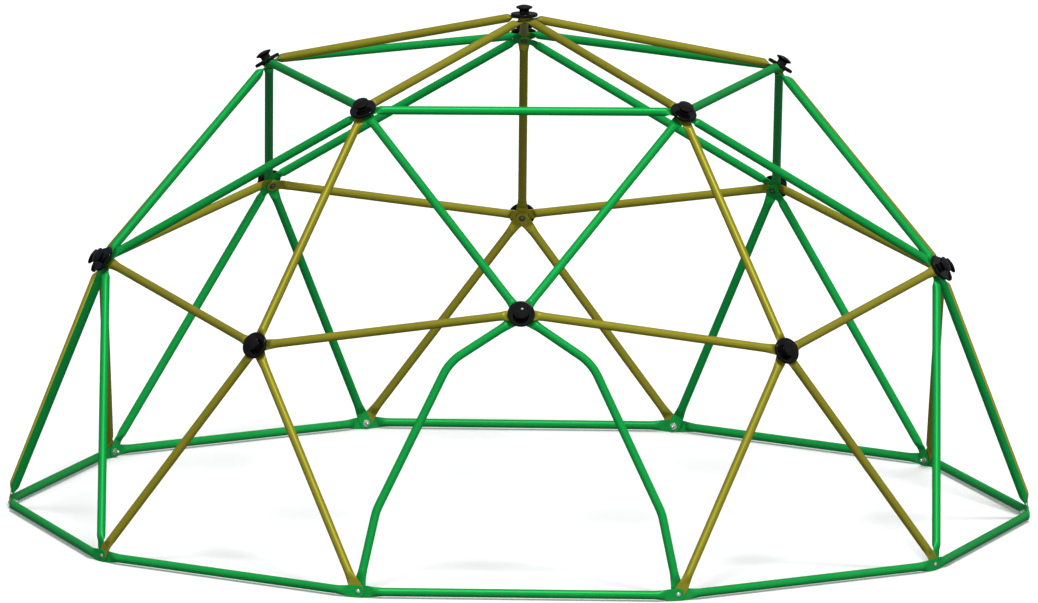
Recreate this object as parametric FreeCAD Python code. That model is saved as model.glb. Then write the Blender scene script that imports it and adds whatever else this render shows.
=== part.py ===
import FreeCAD, Part
import math
import os

# A bolted dome climber: the upper half of a two-frequency geodesic sphere.
# Steel tubes with flattened ends meet at 26 hubs. At each hub the flat ends
# are stacked on one bolt. The 16 hubs above the ground carry a black knob.
#
# Frame: millimetres, +Z up, origin on the ground below the apex.
# The doorway faces -Y. Azimuths start at -Y and grow towards +X.

Vector = FreeCAD.Vector

# ---- Dome ----
DOME_RADIUS = 1510.0       # centre of the dome to a hub's stack of tube ends
FIVE_WAY_INSET = 0.972     # five-way hubs sit this share of the radius out
SIDES = 5                  # the dome repeats every 72 degrees

# ---- Tubes ----
TUBE_R = 12.7              # outside radius of the one-inch tube
WALL = 1.2                 # tube wall
PLATE_T = 2 * WALL         # two walls pressed together
PLATE_HALF_W = 18.5        # half the width of a flattened end
PLATE_REACH = 35.0         # bolt axis to where the flat ends and the tube tilts
CRIMP_LENGTH = 24.0        # from the flat to the full round
CRIMP_EDGE = math.radians(12)   # half the arc that each folded edge opens into
STACK_PITCH = 2.6          # one flattened end plus its powder coat
SLIT_START = 3.0           # the hollow starts this far into the crimp
SLIT_HALF_W = 15.0
SLIT_HALF_T = 0.15

# ---- Doorway tubes ----
DOOR_SHOULDER = (208.0, 137.0)  # half width, and drop below the hub above
DOOR_HIP = (417.0, 573.0)
DOOR_BEND_R = 150.0             # centreline radius of both bends
DOOR_FOOT_REACH = 30.0          # their feet narrow sooner, to pass the yellow legs

# ---- Bolts, all M8 ----
BOLT_R = 4.0
BOLT_HOLE_R = 4.5
BUTTON_HEAD_R = 7.0
BUTTON_HEAD_H = 4.4
SOCKET_R = 2.9             # across the corners of the hexagon socket
SOCKET_DEPTH = 2.6
WASHER_R = 10.0
WASHER_T = 1.6
BOLT_IN_KNOB = 20.0        # thread engagement past the stack of tube ends

# ---- Base bolts ----
DOME_HEAD_R = 6.5
DOME_HEAD_H = 3.8
NUT_FLATS = 13.0
NUT_HEX_H = 6.5
NUT_CAP_R = 5.8
NUT_CAP_SIDE_H = 3.5
BOLT_IN_NUT = 9.0

# ---- Knobs ----
KNOB_SEAT_R = 20.0         # boss that presses on the tube ends
KNOB_SEAT_H = 3.0          # and lifts the flange clear of the tubes
FLANGE_R = 40.25
FLANGE_H = 10.0
FLANGE_EDGE_R = 3.5        # rounding of the flange's rim
NECK_R = 14.5
NECK_TOP = 23.0
NECK_FILLET = 2.5
HEAD_R = 24.2
HEAD_UNDER = 28.0          # height where the head's cone reaches its rim
HEAD_RIM_TOP = 33.0
HEAD_RIM_BULGE = 1.0
HEAD_TOP = 38.0
INSERT_R = 7.0             # threaded metal insert moulded into the knob
INSERT_BORE_R = 4.05
INSERT_LENGTH = 22.0


# ---- Hubs ----

class Hub:
    """One joint: its place, its outward bolt axis and the order of the ends stacked on it."""

    def __init__(self, azimuth_deg, latitude, share=1.0):
        azimuth = math.radians(azimuth_deg)
        self.axis = Vector(
            math.cos(latitude) * math.sin(azimuth),
            -math.cos(latitude) * math.cos(azimuth),
            math.sin(latitude),
        )
        ground_lift = Vector(0, 0, PLATE_HALF_W)
        self.place = self.axis * (DOME_RADIUS * share) + ground_lift
        self.stack = []

    def level(self, tube):
        """Where this tube's flat end lies along the bolt axis."""
        middle = (len(self.stack) - 1) / 2
        return (self.stack.index(tube) - middle) * STACK_PITCH

    def end_centre(self, tube):
        return self.place + self.axis * self.level(tube)

    def half_stack(self):
        return (len(self.stack) - 1) / 2 * STACK_PITCH + PLATE_T / 2

    def bearing(self, towards):
        """Angle of a direction around the bolt axis, for ordering the stack."""
        east = Vector(0, 0, 1).cross(self.axis)
        if east.Length < 1e-6:
            east = Vector(1, 0, 0)
        east.normalize()
        north = self.axis.cross(east)
        return math.atan2(towards.dot(north), towards.dot(east))


FIVE_WAY_LATITUDE = math.atan(0.5)
UPPER_LATITUDE = (math.pi / 2 + FIVE_WAY_LATITUDE) / 2
STEP = 360 / SIDES


def six_way_latitude():
    """Latitude of the point halfway between two neighbouring five-way hubs."""
    out = math.cos(FIVE_WAY_LATITUDE) * math.cos(math.radians(STEP / 2))
    return math.atan2(math.sin(FIVE_WAY_LATITUDE), out)


apex = Hub(0, math.pi / 2, FIVE_WAY_INSET)
upper = [Hub(STEP / 2 + STEP * k, UPPER_LATITUDE) for k in range(SIDES)]
five_way = [Hub(STEP / 2 + STEP * k, FIVE_WAY_LATITUDE, FIVE_WAY_INSET) for k in range(SIDES)]
six_way = [Hub(STEP * k, six_way_latitude()) for k in range(SIDES)]
base = [Hub(STEP / 4 + STEP / 2 * k, 0.0) for k in range(2 * SIDES)]


# ---- Tube routes ----

class Tube:
    """One tube: the hubs at its ends and any bends on the way."""

    def __init__(self, start, end, corners=()):
        self.start, self.end = start, end
        self.corners = list(corners)
        start.stack.append(self)
        end.stack.append(self)

    def towards(self, hub):
        """The first point that the tube heads for as it leaves this hub."""
        stops = [self.start.place] + self.corners + [self.end.place]
        return (stops[1] if hub is self.start else stops[-2]) - hub.place


def door_corner(half_width, drop):
    """A point in the doorway's plane, below the hub over the doorway."""
    top = six_way[0].place
    sill = (base[0].place + base[-1].place) / 2
    down = (sill - top).normalize()
    return top + down * drop + Vector(half_width, 0, 0)


def door_tube(side, foot):
    corners = [door_corner(side * half, drop) for half, drop in (DOOR_SHOULDER, DOOR_HIP)]
    return Tube(six_way[0], foot, corners)


door_left = door_tube(-1, base[-1])
door_right = door_tube(1, base[0])
green_legs = [
    [Tube(six_way[k], base[2 * k - 1]), Tube(six_way[k], base[2 * k])]
    for k in range(1, SIDES)
]
yellow_legs = [
    [Tube(five_way[k], base[2 * k]), Tube(five_way[k], base[2 * k + 1])]
    for k in range(SIDES)
]
base_rails = [Tube(base[k - 1], base[k]) for k in range(2 * SIDES)]
middle_bars = [
    Tube(six_way[(k + 1) // 2 % SIDES], five_way[k // 2]) for k in range(2 * SIDES)
]
upper_yellow = [Tube(five_way[k], upper[k]) for k in range(SIDES)]
upper_green = [
    [Tube(six_way[k], upper[k - 1]), Tube(six_way[k], upper[k])] for k in range(SIDES)
]
upper_ring = [Tube(upper[k - 1], upper[k]) for k in range(SIDES)]
apex_spokes = [Tube(upper[k], apex) for k in range(SIDES)]

raised_hubs = [apex] + upper + five_way + six_way


# ---- Order of each stack, from the innermost end outwards ----

def stack_raised_hubs():
    """Ends lie in order around the bolt, so that neighbours differ by one level."""
    for hub in raised_hubs:
        hub.stack.sort(key=lambda tube: hub.bearing(tube.towards(hub)))
    # the doorway tubes leave close beside the middle bars, so four levels part them
    bars = [middle_bars[-1], middle_bars[0]]
    six_way[0].stack = [door_left, door_right] + upper_green[0] + bars


def stack_base_hubs():
    for number, hub in enumerate(base):
        rail_before = base_rails[number]
        rail_after = base_rails[(number + 1) % len(base)]
        green, yellow = [tube for tube in hub.stack if tube not in (rail_before, rail_after)]
        hub.stack = [green, rail_after, yellow, rail_before]


stack_raised_hubs()
stack_base_hubs()


# ---- Tube solids ----

def circle_wire(centre, across, up, radius):
    """A circle cut into four arcs that match the four sides of a flattened end."""
    def at(angle):
        return centre + across * (radius * math.cos(angle)) + up * (radius * math.sin(angle))

    edge = CRIMP_EDGE
    cuts = [-edge, edge, math.pi - edge, math.pi + edge, 2 * math.pi - edge]
    arcs = [
        Part.Arc(at(a), at((a + b) / 2), at(b)).toShape() for a, b in zip(cuts, cuts[1:])
    ]
    return Part.Wire(arcs)


def flat_wire(centre, across, up, half_w, half_t):
    """The rectangle of a flattened section, starting where circle_wire starts."""
    corners = [(half_w, -half_t), (half_w, half_t), (-half_w, half_t), (-half_w, -half_t)]
    points = [centre + across * x + up * y for x, y in corners]
    return Part.Wire(Part.makePolygon(points + points[:1]).Edges)


def ruled_solid(first, second):
    return Part.makeLoft([first, second], True, True)


class FlatEnd:
    """The flattened end of a tube at one hub, and the crimp that opens it to the round."""

    def __init__(self, hub, tube, next_point, reach=PLATE_REACH):
        self.centre = hub.end_centre(tube)
        self.axis = hub.axis
        heading = next_point - self.centre
        self.flat_dir = (heading - self.axis * heading.dot(self.axis)).normalize()
        self.across = self.flat_dir.cross(self.axis)
        self.knee = self.centre + self.flat_dir * reach
        self.tube_dir = (next_point - self.knee).normalize()
        self.up = self.across.cross(self.tube_dir)
        self.round_centre = self.knee + self.tube_dir * CRIMP_LENGTH

    def plate(self):
        """Half-round tip about the bolt, straight edges out to the knee."""
        side = self.across * PLATE_HALF_W
        lift = self.axis * (-PLATE_T / 2)
        centre = self.centre + lift
        knee = self.knee + lift
        tip = Part.Arc(centre + side, centre - self.flat_dir * PLATE_HALF_W, centre - side)
        outline = Part.Wire([
            tip.toShape(),
            Part.makeLine(centre - side, knee - side),
            Part.makeLine(knee - side, knee + side),
            Part.makeLine(knee + side, centre + side),
        ])
        return Part.Face(outline).extrude(self.axis * PLATE_T)

    def crimp(self):
        flat = flat_wire(self.knee, self.across, self.axis, PLATE_HALF_W, PLATE_T / 2)
        return ruled_solid(flat, circle_wire(self.round_centre, self.across, self.up, TUBE_R))

    def crimp_hollow(self):
        start = self.knee + self.tube_dir * SLIT_START
        slit = flat_wire(start, self.across, self.up, SLIT_HALF_W, SLIT_HALF_T)
        bore = circle_wire(self.round_centre, self.across, self.up, TUBE_R - WALL)
        return ruled_solid(slit, bore)

    def bolt_hole(self):
        reach = 2 * PLATE_T
        return Part.makeCylinder(
            BOLT_HOLE_R, 2 * reach, self.centre - self.axis * reach, self.axis
        )


def bent_path(points):
    """Straight runs joined by tangent arcs of the doorway bend radius."""
    edges = []
    start = points[0]
    for before, corner, after in zip(points, points[1:], points[2:]):
        back = (before - corner).normalize()
        ahead = (after - corner).normalize()
        half_turn = (math.pi - back.getAngle(ahead)) / 2
        tangent = DOOR_BEND_R * math.tan(half_turn)
        inwards = (back + ahead).normalize()
        to_centre = DOOR_BEND_R / math.cos(half_turn)
        middle = corner + inwards * (to_centre - DOOR_BEND_R)
        arc_start = corner + back * tangent
        arc_end = corner + ahead * tangent
        edges.append(Part.makeLine(start, arc_start))
        edges.append(Part.Arc(arc_start, middle, arc_end).toShape())
        start = arc_end
    edges.append(Part.makeLine(start, points[-1]))
    return Part.Wire(edges)


def bent_rod(path, end, radius):
    profile = circle_wire(end.round_centre, end.across, end.up, radius)
    return path.makePipeShell([profile], True, False)


def straight_rod(first, second, radius):
    """A round bar whose seams line up with the crimps."""
    near = circle_wire(first.round_centre, first.across, first.up, radius)
    return Part.Face(near).extrude(second.round_centre - first.round_centre)


def straight_knees(tube):
    """A straight tube bends at both hubs, so each end heads for the other end's knee."""
    start, end = tube.start.end_centre(tube), tube.end.end_centre(tube)
    aims = [end, start]
    for _ in range(8):
        first = FlatEnd(tube.start, tube, aims[0])
        second = FlatEnd(tube.end, tube, aims[1])
        aims = [second.knee, first.knee]
    return first, second


def tube_solid(tube):
    if tube.corners:
        first = FlatEnd(tube.start, tube, tube.corners[0])
        second = FlatEnd(tube.end, tube, tube.corners[-1], DOOR_FOOT_REACH)
        path = bent_path([first.round_centre] + tube.corners + [second.round_centre])
        rod, bore = (bent_rod(path, first, r) for r in (TUBE_R, TUBE_R - WALL))
    else:
        first, second = straight_knees(tube)
        rod, bore = (straight_rod(first, second, r) for r in (TUBE_R, TUBE_R - WALL))
    ends = (first, second)
    outside = rod.fuse([piece for e in ends for piece in (e.plate(), e.crimp())])
    hollow = bore.fuse([e.crimp_hollow() for e in ends])
    solid = outside.removeSplitter().cut([hollow.removeSplitter()] + [e.bolt_hole() for e in ends])
    return one_solid(solid)


def one_solid(shape):
    if len(shape.Solids) != 1 or not shape.isValid():
        raise ValueError(f"expected one valid solid, got {len(shape.Solids)}")
    return shape.Solids[0]


# ---- Knobs and fasteners, each modelled along +Z from the stack's face ----

def turned(outline):
    """Revolve a closed outline of edges in the XZ plane about Z."""
    face = Part.Face(Part.Wire(outline))
    return one_solid(face.revolve(Vector(0, 0, 0), Vector(0, 0, 1), 360))


def rz(radius, height):
    return Vector(radius, 0, height)


def line(a, b):
    return Part.makeLine(a, b)


def arc(a, middle, b):
    return Part.Arc(a, middle, b).toShape()


def crown(rim_r, rim_z, top_z):
    """The arc of a spherical cap, from its rim to its top on the axis."""
    rise = abs(top_z - rim_z)
    up = math.copysign(1, top_z - rim_z)
    sphere_r = (rim_r ** 2 + rise ** 2) / (2 * rise)
    half = math.asin(rim_r / sphere_r) / 2
    drop = sphere_r * (1 - math.cos(half))
    return arc(rz(rim_r, rim_z), rz(sphere_r * math.sin(half), top_z - up * drop), rz(0, top_z))


def rounding(corner_r, corner_z, radius, upwards):
    """The three points of a quarter-round on an outside edge, from bottom to top."""
    slant = radius * math.cos(math.pi / 4)
    centre_r = corner_r - radius
    if upwards:
        centre_z = corner_z - radius
        return [
            rz(corner_r, centre_z),
            rz(centre_r + slant, centre_z + slant),
            rz(centre_r, corner_z),
        ]
    centre_z = corner_z + radius
    return [
        rz(centre_r, corner_z),
        rz(centre_r + slant, centre_z - slant),
        rz(corner_r, centre_z),
    ]


def knob():
    """Boss, broad flange, waisted neck and a low mushroom head."""
    flange_top = KNOB_SEAT_H + FLANGE_H
    low = rounding(FLANGE_R, KNOB_SEAT_H, FLANGE_EDGE_R, False)
    high = rounding(FLANGE_R, flange_top, FLANGE_EDGE_R, True)
    neck_foot = flange_top + NECK_FILLET
    fillet_mid = NECK_FILLET * (1 - math.cos(math.pi / 4))
    insert_top = INSERT_LENGTH
    outline = [
        line(rz(INSERT_R, 0), rz(KNOB_SEAT_R, 0)),
        line(rz(KNOB_SEAT_R, 0), rz(KNOB_SEAT_R, KNOB_SEAT_H)),
        line(rz(KNOB_SEAT_R, KNOB_SEAT_H), low[0]),
        arc(*low),
        line(low[2], high[0]),
        arc(*high),
        line(high[2], rz(NECK_R + NECK_FILLET, flange_top)),
        arc(
            rz(NECK_R + NECK_FILLET, flange_top),
            rz(NECK_R + fillet_mid, flange_top + fillet_mid),
            rz(NECK_R, neck_foot),
        ),
        line(rz(NECK_R, neck_foot), rz(NECK_R, NECK_TOP)),
        line(rz(NECK_R, NECK_TOP), rz(HEAD_R - HEAD_RIM_BULGE, HEAD_UNDER)),
        arc(
            rz(HEAD_R - HEAD_RIM_BULGE, HEAD_UNDER),
            rz(HEAD_R, (HEAD_UNDER + HEAD_RIM_TOP) / 2),
            rz(HEAD_R - HEAD_RIM_BULGE, HEAD_RIM_TOP),
        ),
        crown(HEAD_R - HEAD_RIM_BULGE, HEAD_RIM_TOP, HEAD_TOP),
        line(rz(0, HEAD_TOP), rz(0, insert_top)),
        line(rz(0, insert_top), rz(INSERT_R, insert_top)),
        line(rz(INSERT_R, insert_top), rz(INSERT_R, 0)),
    ]
    return turned(outline)


def knob_insert():
    sleeve = Part.makeCylinder(INSERT_R, INSERT_LENGTH)
    return one_solid(sleeve.cut(Part.makeCylinder(INSERT_BORE_R, INSERT_LENGTH - WALL)))


def domed_head(radius, height):
    """A low dome, flat side at z = 0, crown pointing to -Z."""
    rim = 0.25 * height
    outline = [
        line(rz(0, 0), rz(radius, 0)),
        line(rz(radius, 0), rz(radius, -rim)),
        crown(radius, -rim, -height),
        line(rz(0, -height), rz(0, 0)),
    ]
    return turned(outline)


def hexagon(radius, start_z, height):
    corners = [
        Vector(radius * math.cos(k * math.pi / 3), radius * math.sin(k * math.pi / 3), start_z)
        for k in range(7)
    ]
    return Part.Face(Part.makePolygon(corners)).extrude(Vector(0, 0, height))


def hub_bolt(grip):
    """Button-head bolt: the head is inside the dome, the shank runs out into the knob."""
    head = domed_head(BUTTON_HEAD_R, BUTTON_HEAD_H)
    shank = Part.makeCylinder(BOLT_R, grip + BOLT_IN_KNOB)
    socket = hexagon(SOCKET_R, -BUTTON_HEAD_H, SOCKET_DEPTH)
    return one_solid(head.fuse(shank).cut(socket))


def washer():
    hole = Part.makeCylinder(BOLT_HOLE_R, WASHER_T)
    return one_solid(Part.makeCylinder(WASHER_R, WASHER_T).cut(hole))


def base_bolt(grip):
    """Plain domed head outside, shank running inwards: +Z points into the dome."""
    shank = Part.makeCylinder(BOLT_R, grip + BOLT_IN_NUT)
    return one_solid(domed_head(DOME_HEAD_R, DOME_HEAD_H).fuse(shank))


def acorn_nut():
    """Hexagon, short round cap and a closed dome, with a blind hole."""
    cap_top = NUT_HEX_H + NUT_CAP_SIDE_H
    nut_top = cap_top + NUT_CAP_R
    cap = turned([
        line(rz(0, 0), rz(NUT_CAP_R, 0)),
        line(rz(NUT_CAP_R, 0), rz(NUT_CAP_R, cap_top)),
        crown(NUT_CAP_R, cap_top, nut_top),
        line(rz(0, nut_top), rz(0, 0)),
    ])
    corner_r = NUT_FLATS / 2 / math.cos(math.pi / 6)
    body = hexagon(corner_r, 0, NUT_HEX_H)
    thread = Part.makeCylinder(INSERT_BORE_R, BOLT_IN_NUT + WALL)
    return one_solid(body.fuse(cap).cut(thread))


# ---- Placing and writing ----

def along(shape, start, direction):
    """Move a shape modelled along +Z so that it starts at a point and runs along a direction."""
    turn = FreeCAD.Rotation(Vector(0, 0, 1), direction)
    moved = shape.copy()
    moved.Placement = FreeCAD.Placement(start, turn)
    return moved


def on_hubs(hubs, make, start_of, inwards=False):
    """One piece per hub, each on its hub's bolt axis, as separate solids."""
    pieces = []
    for hub in hubs:
        direction = hub.axis * (-1 if inwards else 1)
        pieces.append(along(make(hub), hub.place + hub.axis * start_of(hub), direction))
    return pieces


def write(node, solids):
    shape = solids[0] if len(solids) == 1 else Part.makeCompound(solids)
    shape.exportStep(f"parts/{node}.step")


def write_tubes():
    """Straight tubes that share a hub are written in pairs, all others one by one."""
    singles = {
        "base_rail": base_rails,
        "middle_bar": middle_bars,
        "upper_yellow_bar": upper_yellow,
        "upper_ring_bar": upper_ring,
        "apex_spoke": apex_spokes,
    }
    pairs = {
        "green_leg_pair": green_legs,
        "yellow_leg_pair": yellow_legs,
        "upper_green_pair": upper_green,
    }
    write("entry_tube_left", [tube_solid(door_left)])
    write("entry_tube_right", [tube_solid(door_right)])
    for name, tubes in singles.items():
        for number, tube in enumerate(tubes, 1):
            write(f"{name}_{number:02d}", [tube_solid(tube)])
    for name, groups in pairs.items():
        for number, group in enumerate(groups, 1):
            write(f"{name}_{number:02d}", [tube_solid(tube) for tube in group])


def outer_face(hub):
    return hub.half_stack()


def inner_washer_face(hub):
    return -hub.half_stack() - WASHER_T


def write_hardware():
    insert, ring, top, nut = knob_insert(), washer(), knob(), acorn_nut()
    write("apex_knob", on_hubs([apex], lambda hub: top, outer_face))
    write("upper_hub_knobs", on_hubs(upper, lambda hub: top, outer_face))
    write("middle_hub_knobs", on_hubs(five_way + six_way, lambda hub: top, outer_face))
    write("knob_inserts", on_hubs(raised_hubs, lambda hub: insert, outer_face))
    write("hub_washers", on_hubs(raised_hubs, lambda hub: ring, inner_washer_face))
    write("hub_bolts", on_hubs(
        raised_hubs,
        lambda hub: hub_bolt(2 * hub.half_stack() + WASHER_T),
        inner_washer_face,
    ))
    write("base_bolts", on_hubs(
        base,
        lambda hub: base_bolt(2 * hub.half_stack() + WASHER_T),
        outer_face,
        inwards=True,
    ))
    write("base_washers", on_hubs(base, lambda hub: ring, inner_washer_face))
    write("base_acorn_nuts", on_hubs(base, lambda hub: nut, inner_washer_face, inwards=True))


os.makedirs("parts", exist_ok=True)
write_tubes()
write_hardware()
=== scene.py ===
import math
import random

import bmesh
import bpy
from mathutils import Matrix, Vector


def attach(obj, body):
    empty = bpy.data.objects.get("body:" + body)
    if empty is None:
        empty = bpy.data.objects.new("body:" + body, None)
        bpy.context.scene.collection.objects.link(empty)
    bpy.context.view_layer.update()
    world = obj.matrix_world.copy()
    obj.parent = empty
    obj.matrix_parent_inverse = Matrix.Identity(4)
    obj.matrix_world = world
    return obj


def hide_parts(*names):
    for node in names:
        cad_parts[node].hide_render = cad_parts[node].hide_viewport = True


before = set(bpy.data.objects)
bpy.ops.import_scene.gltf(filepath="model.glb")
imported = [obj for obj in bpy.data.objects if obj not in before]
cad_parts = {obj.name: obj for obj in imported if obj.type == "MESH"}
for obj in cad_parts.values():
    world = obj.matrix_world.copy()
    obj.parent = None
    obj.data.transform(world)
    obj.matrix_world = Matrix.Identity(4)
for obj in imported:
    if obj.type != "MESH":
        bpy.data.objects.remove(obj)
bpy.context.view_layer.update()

# The looks of a bolted dome climber: green and yellow powder-coated steel
# tubes with flattened ends, black moulded knobs and zinc-plated fasteners.
# Metres, +Z up, origin on the ground below the apex, doorway towards -Y.
# Every CAD node is replaced by one finer piece. Its flattened ends taper over a
# longer way than the CAD model's, and at the raised hubs they open sooner.
# The stacks are ordered as in the CAD model except at three hubs: see order_stacks.

# ---- Dome, the same sizes as the CAD model ----
DOME_RADIUS = 1.510          # centre of the dome to a hub's stack of tube ends
FIVE_WAY_INSET = 0.972       # five-way hubs sit this share of the radius out
SIDES = 5                    # the dome repeats every 72 degrees
STEP = 360 / SIDES

# ---- Tubes ----
TUBE_R = 0.0127
WALL = 0.0012
PLATE_T = 2 * WALL           # two walls pressed together
PLATE_HALF_W = 0.0185
PLATE_REACH = 0.035          # bolt axis to where the flat ends and the tube tilts
KNEE = 0.003                 # length of the small bend on each side of that line
BASE_CRIMP_LENGTH = 0.030    # from the flat to the full thickness, at the base hubs
RAISED_CRIMP_LENGTH = 0.018  # the same at the raised hubs
CRIMP_HASTE = 0.65           # below 1, the crimp opens early
CRIMP_EDGE = math.radians(12)    # half the arc that each folded edge opens into
TAPER_START = 0.012          # bolt axis to where the flat end begins to narrow
TAPER_END = 0.042            # end of the flat to where its width is the round tube's
STACK_PITCH = 0.0026         # a flat end and the coats of paint between it and the next

# ---- Doorway tubes ----
DOOR_SHOULDER = (0.208, 0.137)   # half width, and drop below the hub above
DOOR_HIP = (0.417, 0.573)
DOOR_BEND_R = 0.150
DOOR_FOOT_REACH = 0.030

# ---- Bolts, all M8 ----
BOLT_R = 0.004
BOLT_HOLE_R = 0.0045
BUTTON_HEAD_R = 0.007
BUTTON_HEAD_H = 0.0044
SOCKET_R = 0.0029            # across the corners of the hexagon socket
SOCKET_DEPTH = 0.0026
WASHER_R = 0.010
WASHER_T = 0.0016
BOLT_IN_KNOB = 0.020
DOME_HEAD_R = 0.0065
DOME_HEAD_H = 0.0038
NUT_FLATS = 0.013
NUT_HEX_H = 0.0065
NUT_CAP_R = 0.0058
NUT_CAP_SIDE_H = 0.0035
BOLT_IN_NUT = 0.009

# ---- Knobs ----
KNOB_SEAT_R = 0.020
KNOB_SEAT_H = 0.003
FLANGE_R = 0.04025
FLANGE_H = 0.010
FLANGE_EDGE_R = 0.0035
NECK_R = 0.0145
NECK_TOP = 0.023
NECK_FILLET = 0.0025
NECK_BLEND = 0.001           # where the neck begins to widen towards the head
HEAD_R = 0.0242
HEAD_UNDER = 0.028
HEAD_RIM_TOP = 0.033
HEAD_RIM_BULGE = 0.001
HEAD_TOP = 0.038
INSERT_R = 0.007
INSERT_BORE_R = 0.00405
INSERT_LENGTH = 0.022

# ---- Fineness of the meshes ----
TOP_POINTS = 19              # across each face of a flattened end
SIDE_STEPS = 5               # along each straight side of a flattened end
TIP_STEPS = 22               # round its half-round tip
KNEE_STEPS = 4
CRIMP_STEPS = 18
KNEE_ROUNDS = 8              # rounds of aiming the two knees of a tube at each other
RUN_STEP = 0.12              # between the rings of a straight run
BEND_STEP = math.radians(3)
KNOB_SIDES = 96
FASTENER_SIDES = 48          # a multiple of six, so that hexagons keep their corners
SHARP_ANGLE = math.radians(38)


# ---- Hubs ----

class Hub:
    """One joint: its place, its outward bolt axis and the order of the ends stacked on it."""

    def __init__(self, azimuth_deg, latitude, share=1.0):
        azimuth = math.radians(azimuth_deg)
        self.axis = Vector((
            math.cos(latitude) * math.sin(azimuth),
            -math.cos(latitude) * math.cos(azimuth),
            math.sin(latitude),
        ))
        self.place = self.axis * (DOME_RADIUS * share) + Vector((0, 0, PLATE_HALF_W))
        self.stack = []

    def end_centre(self, tube):
        middle = (len(self.stack) - 1) / 2
        return self.place + self.axis * ((self.stack.index(tube) - middle) * STACK_PITCH)

    def half_stack(self):
        return (len(self.stack) - 1) / 2 * STACK_PITCH + PLATE_T / 2

    def bearing(self, towards):
        """Angle of a direction around the bolt axis, for ordering the stack."""
        east = Vector((0, 0, 1)).cross(self.axis)
        if east.length < 1e-6:
            east = Vector((1, 0, 0))
        east.normalize()
        north = self.axis.cross(east)
        return math.atan2(towards.dot(north), towards.dot(east))


FIVE_WAY_LATITUDE = math.atan(0.5)
UPPER_LATITUDE = (math.pi / 2 + FIVE_WAY_LATITUDE) / 2
SIX_WAY_LATITUDE = math.atan2(
    math.sin(FIVE_WAY_LATITUDE),
    math.cos(FIVE_WAY_LATITUDE) * math.cos(math.radians(STEP / 2)),
)

apex = Hub(0, math.pi / 2, FIVE_WAY_INSET)
upper = [Hub(STEP / 2 + STEP * k, UPPER_LATITUDE) for k in range(SIDES)]
five_way = [Hub(STEP / 2 + STEP * k, FIVE_WAY_LATITUDE, FIVE_WAY_INSET) for k in range(SIDES)]
six_way = [Hub(STEP * k, SIX_WAY_LATITUDE) for k in range(SIDES)]
base = [Hub(STEP / 4 + STEP / 2 * k, 0.0) for k in range(2 * SIDES)]
raised_hubs = [apex] + upper + five_way + six_way


# ---- Tube routes ----

class Tube:
    """One tube: the hubs at its ends and any bends on the way."""

    def __init__(self, start, end, corners=()):
        self.start, self.end = start, end
        self.corners = list(corners)
        start.stack.append(self)
        end.stack.append(self)

    def towards(self, hub):
        """The first point that the tube heads for as it leaves this hub."""
        stops = [self.start.place] + self.corners + [self.end.place]
        return (stops[1] if hub is self.start else stops[-2]) - hub.place


def door_tube(side, foot):
    """A bent tube in the plane of the triangle below the hub over the doorway."""
    top = six_way[0].place
    sill = (base[0].place + base[-1].place) / 2
    down = (sill - top).normalized()
    corners = [
        top + down * drop + Vector((side * half, 0, 0)) for half, drop in (DOOR_SHOULDER, DOOR_HIP)
    ]
    return Tube(six_way[0], foot, corners)


door_left = door_tube(-1, base[-1])
door_right = door_tube(1, base[0])
green_legs = [
    [Tube(six_way[k], base[2 * k - 1]), Tube(six_way[k], base[2 * k])]
    for k in range(1, SIDES)
]
yellow_legs = [
    [Tube(five_way[k], base[2 * k]), Tube(five_way[k], base[2 * k + 1])]
    for k in range(SIDES)
]
base_rails = [Tube(base[k - 1], base[k]) for k in range(2 * SIDES)]
middle_bars = [
    Tube(six_way[(k + 1) // 2 % SIDES], five_way[k // 2]) for k in range(2 * SIDES)
]
upper_yellow = [Tube(five_way[k], upper[k]) for k in range(SIDES)]
upper_green = [
    [Tube(six_way[k], upper[k - 1]), Tube(six_way[k], upper[k])] for k in range(SIDES)
]
upper_ring = [Tube(upper[k - 1], upper[k]) for k in range(SIDES)]
apex_spokes = [Tube(upper[k], apex) for k in range(SIDES)]


def order_stacks():
    """From the innermost tube end outwards.

    At a six-way hub one middle bar points almost exactly where the angles wrap round.
    At three of them, 72, 144 and 288 degrees from the front, rounding puts that bar
    last, so outermost, while the CAD model has it innermost.
    """
    for hub in raised_hubs:
        hub.stack.sort(key=lambda tube: hub.bearing(tube.towards(hub)))
    bars = [middle_bars[-1], middle_bars[0]]
    six_way[0].stack = [door_left, door_right] + upper_green[0] + bars
    for number, hub in enumerate(base):
        before = base_rails[number]
        after = base_rails[(number + 1) % len(base)]
        green, yellow = [tube for tube in hub.stack if tube not in (before, after)]
        hub.stack = [green, after, yellow, before]


order_stacks()


# ---- Mesh building ----

class Surface:
    """Points and faces of one closed piece. rub is 0 to 1: how much each point gets rubbed."""

    def __init__(self):
        self.points, self.faces, self.rub = [], [], []

    def row(self, points, rub=0.0):
        first = len(self.points)
        self.points.extend(points)
        self.rub.extend([rub] * len(points))
        return list(range(first, len(self.points)))

    def bridge(self, first, second, closed=True):
        """Quads between two rows that have the same number of points."""
        for i in range(len(first) if closed else len(first) - 1):
            j = (i + 1) % len(first)
            self.faces.append((first[i], first[j], second[j], second[i]))

    def skin(self, rows):
        for first, second in zip(rows, rows[1:]):
            self.bridge(first, second)

    def cap(self, row, middle):
        centre = self.row([middle])[0]
        for i, here in enumerate(row):
            self.faces.append((here, row[(i + 1) % len(row)], centre))

    def moved(self, matrix):
        copy = Surface()
        copy.points = [matrix @ point for point in self.points]
        copy.faces, copy.rub = self.faces, self.rub
        return copy


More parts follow.
